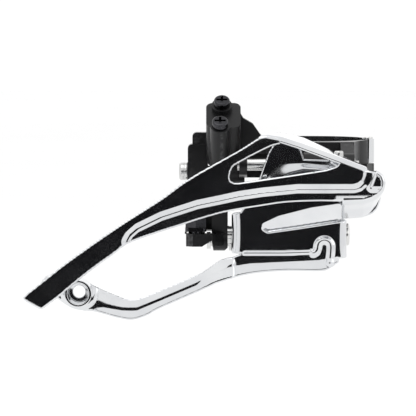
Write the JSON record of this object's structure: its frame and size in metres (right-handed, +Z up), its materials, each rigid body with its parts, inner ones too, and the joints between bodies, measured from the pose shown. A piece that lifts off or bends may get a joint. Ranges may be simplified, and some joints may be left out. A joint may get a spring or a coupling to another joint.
{
  "type": "front derailleur",
  "caption": "Band-clamp front derailleur with a black cast bracket, two limit screws, a sprung four-bar linkage and a long chromed two-plate chain cage.",
  "frame": {"origin": "centre of the seat-tube clamp's bore at half of its height", "axes": "+Z up along the seat tube, +X towards the front of the bicycle, +Y from the chain side towards the middle plane"},
  "size_m": [0.1162, 0.0683, 0.0728],
  "materials": {
    "black_paint": "satin black coat on die-cast aluminium",
    "chromed_plate": "polished chrome plating on pressed steel",
    "bright_steel": "bright plated steel",
    "black_steel": "black oxide on steel",
    "spring_steel": "oiled spring wire",
    "bronze": "dull sintered bronze"
  },
  "bodies": {
    "bracket": {"bracket_body": "black_paint", "clamp_hinge_pin": "bright_steel", "front_fixed_axle": "bright_steel", "rear_fixed_axle": "bright_steel", "rear_axle_washer": "bright_steel"},
    "band": {"clamp_band": "chromed_plate", "clamp_washer": "bright_steel", "clamp_bolt": "bright_steel"},
    "inner_screw": {"inner_limit_screw": "black_steel"},
    "outer_screw": {"outer_limit_screw": "black_steel"},
    "outer_link_body": {"outer_link": "black_paint", "outer_link_bush_left": "bronze", "outer_link_bush_right": "bronze", "return_spring": "spring_steel"},
    "inner_link_body": {"inner_link": "black_paint", "inner_link_bush": "bronze", "cable_anchor_washer": "black_steel", "cable_anchor_bolt": "black_steel"},
    "cage": {"cage_outer_plate": "chromed_plate", "cage_inner_plate": "chromed_plate", "tail_spacer": "chromed_plate", "bridge_rivet_front": "bright_steel", "bridge_rivet_top": "bright_steel", "front_moving_axle": "bright_steel", "rear_moving_axle": "bright_steel", "rear_moving_washer": "bright_steel"}
  },
  "joints": [
    {"name": "outer_link_swing", "type": "hinge", "parent": "bracket", "child": "outer_link_body", "pos_m": [0, -0.03, -0.0014], "axis": [-1, 0, 0], "range_deg": [0, 46], "stiffness_Nm_per_rad": 0.5, "springref_deg": -17.19},
    {"name": "inner_link_swing", "type": "hinge", "parent": "bracket", "child": "inner_link_body", "pos_m": [-0.03, -0.02, -0.0041], "axis": [-1, 0, 0], "range_deg": [0, 46]},
    {"name": "cage_pivot", "type": "hinge", "parent": "outer_link_body", "child": "cage", "pos_m": [0, -0.028, -0.02435], "axis": [-1, 0, 0], "range_deg": [-46, 0]},
    {"name": "clamp_hinge", "type": "hinge", "parent": "bracket", "child": "band", "pos_m": [0.0187, -0.0062, 0], "axis": [0, 0, -1], "range_deg": [0, 95]},
    {"name": "inner_screw_turn", "type": "hinge", "parent": "bracket", "child": "inner_screw", "pos_m": [-0.0301, -0.03266, 0.01791], "axis": [0, -0.6428, 0.766], "range_deg": [-720, 720]},
    {"name": "outer_screw_turn", "type": "hinge", "parent": "bracket", "child": "outer_screw", "pos_m": [-0.0307, -0.04041, 0.01141], "axis": [0, -0.6428, 0.766], "range_deg": [-720, 720]}
  ],
  "couplings": [
    {"joint": "inner_link_swing", "follows": "outer_link_swing", "ratio": 1},
    {"joint": "cage_pivot", "follows": "outer_link_swing", "ratio": -1}
  ]
}
